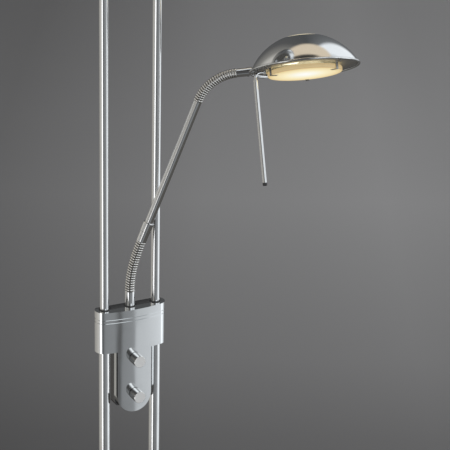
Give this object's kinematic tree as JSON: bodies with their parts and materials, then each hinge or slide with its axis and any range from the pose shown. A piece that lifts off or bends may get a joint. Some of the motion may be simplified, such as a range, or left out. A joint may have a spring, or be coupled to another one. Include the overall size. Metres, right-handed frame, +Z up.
{
  "type": "floor lamp",
  "caption": "Torchiere floor lamp on twin chrome tubes, with an upward bowl, a control box with dimmer knobs and a reading light on a gooseneck arm.",
  "frame": {"origin": "middle of the base's underside, on the floor", "axes": "+Z up; +X from the left tube to the right tube, the side that the reading arm leans to; -Y is the front, where the knobs point"},
  "size_m": [0.4353, 0.3254, 1.8],
  "materials": {
    "chrome": "polished",
    "chrome_tube": "polished, drawn tube",
    "front_cover": "satin nickel-grey",
    "rear_cover": "dark gloss",
    "head_chrome": "polished, spun",
    "plate": "plain matt",
    "reflector": "bright",
    "knob": "satin face",
    "hose": "polished, ribbed",
    "steel": "plated",
    "weight": "as cast, black",
    "pad": "matt",
    "black_plastic": "matt",
    "white_plastic": "matt",
    "ceramic": "matt, ceramic-like",
    "lit_glass": "frosted, lit",
    "opal_glass": "frosted",
    "bulb": "clear quartz"
  },
  "bodies": {
    "stand": {"base_pad": "pad", "base_weight": "weight", "base_cover": "chrome", "cable_gland": "black_plastic", "base_collars": "chrome", "pole_studs": "steel", "pole_nuts": "steel", "lower_pole_left": "chrome_tube", "lower_pole_right": "chrome_tube", "upper_pole_left": "chrome_tube", "upper_pole_right": "chrome_tube", "pole_couplers": "steel", "control_front_cover": "front_cover", "control_rear_cover": "rear_cover", "cover_posts": "black_plastic", "cover_screws": "steel", "entry_bushes": "black_plastic", "pole_bridge": "steel", "terminal_block": "white_plastic", "dimmers": "black_plastic", "dimmer_nuts": "steel", "arm_foot": "chrome", "arm_nut": "steel", "lower_hose_start": "hose", "bridge_block": "chrome", "centre_bolt": "steel", "centre_nut": "steel", "uplighter_bowl": "chrome", "uplighter_plate": "plate", "uplighter_glass": "opal_glass", "uplighter_clips": "steel", "uplighter_bracket": "steel", "uplighter_holders": "ceramic", "uplighter_bulb": "bulb"},
    "lower_link": {"lower_hose_middle": "hose"},
    "arm": {"lower_hose_end": "hose", "lower_ferrule": "chrome", "arm_collar": "chrome", "arm_rod": "chrome_tube", "upper_hose_start": "hose"},
    "upper_link": {"upper_hose_middle": "hose"},
    "head": {"upper_hose_end": "hose", "neck_ferrule": "chrome", "neck_nut": "steel", "head_shell": "head_chrome", "head_plate": "plate", "head_reflector": "reflector", "head_top_glass": "lit_glass", "head_glass": "lit_glass", "glass_clips": "steel", "clip_screws": "steel", "head_socket": "ceramic", "head_bulb": "bulb", "handle_wire": "chrome", "handle_grip": "chrome", "grip_cap": "black_plastic"},
    "upper_knob": {"upper_knob": "knob", "upper_knob_shaft": "steel"},
    "lower_knob": {"lower_knob": "knob", "lower_knob_shaft": "steel"}
  },
  "joints": [
    {"name": "lower_tilt", "type": "hinge", "parent": "stand", "child": "lower_link", "pos_m": [0.00192, -0.00098, 1.24888], "axis": [0.454, 0.891, 0], "range_deg": [-10, 45], "deforming": ["lower_hose_start", "lower_hose_middle"]},
    {"name": "lower_swing", "type": "hinge", "parent": "lower_link", "child": "arm", "pos_m": [0.00708, -0.00361, 1.27421], "axis": [0.8552, -0.4357, -0.2807], "range_deg": [-1, 45], "deforming": ["lower_hose_end"]},
    {"name": "upper_tilt", "type": "hinge", "parent": "arm", "child": "upper_link", "pos_m": [0.09343, -0.0476, 1.52655], "axis": [0.454, 0.891, 0], "range_deg": [-40, 40], "deforming": ["upper_hose_start", "upper_hose_middle"]},
    {"name": "upper_swing", "type": "hinge", "parent": "upper_link", "child": "head", "pos_m": [0.10971, -0.0559, 1.54085], "axis": [0.4114, -0.2096, -0.887], "range_deg": [-35, 35], "deforming": ["upper_hose_end"]},
    {"name": "upper_knob_turn", "type": "hinge", "parent": "stand", "child": "upper_knob", "pos_m": [0, -0.0183, 1.125], "axis": [0, -1, 0], "range_deg": [0, 270]},
    {"name": "lower_knob_turn", "type": "hinge", "parent": "stand", "child": "lower_knob", "pos_m": [0, -0.0183, 1.069], "axis": [0, -1, 0], "range_deg": [0, 270]}
  ]
}
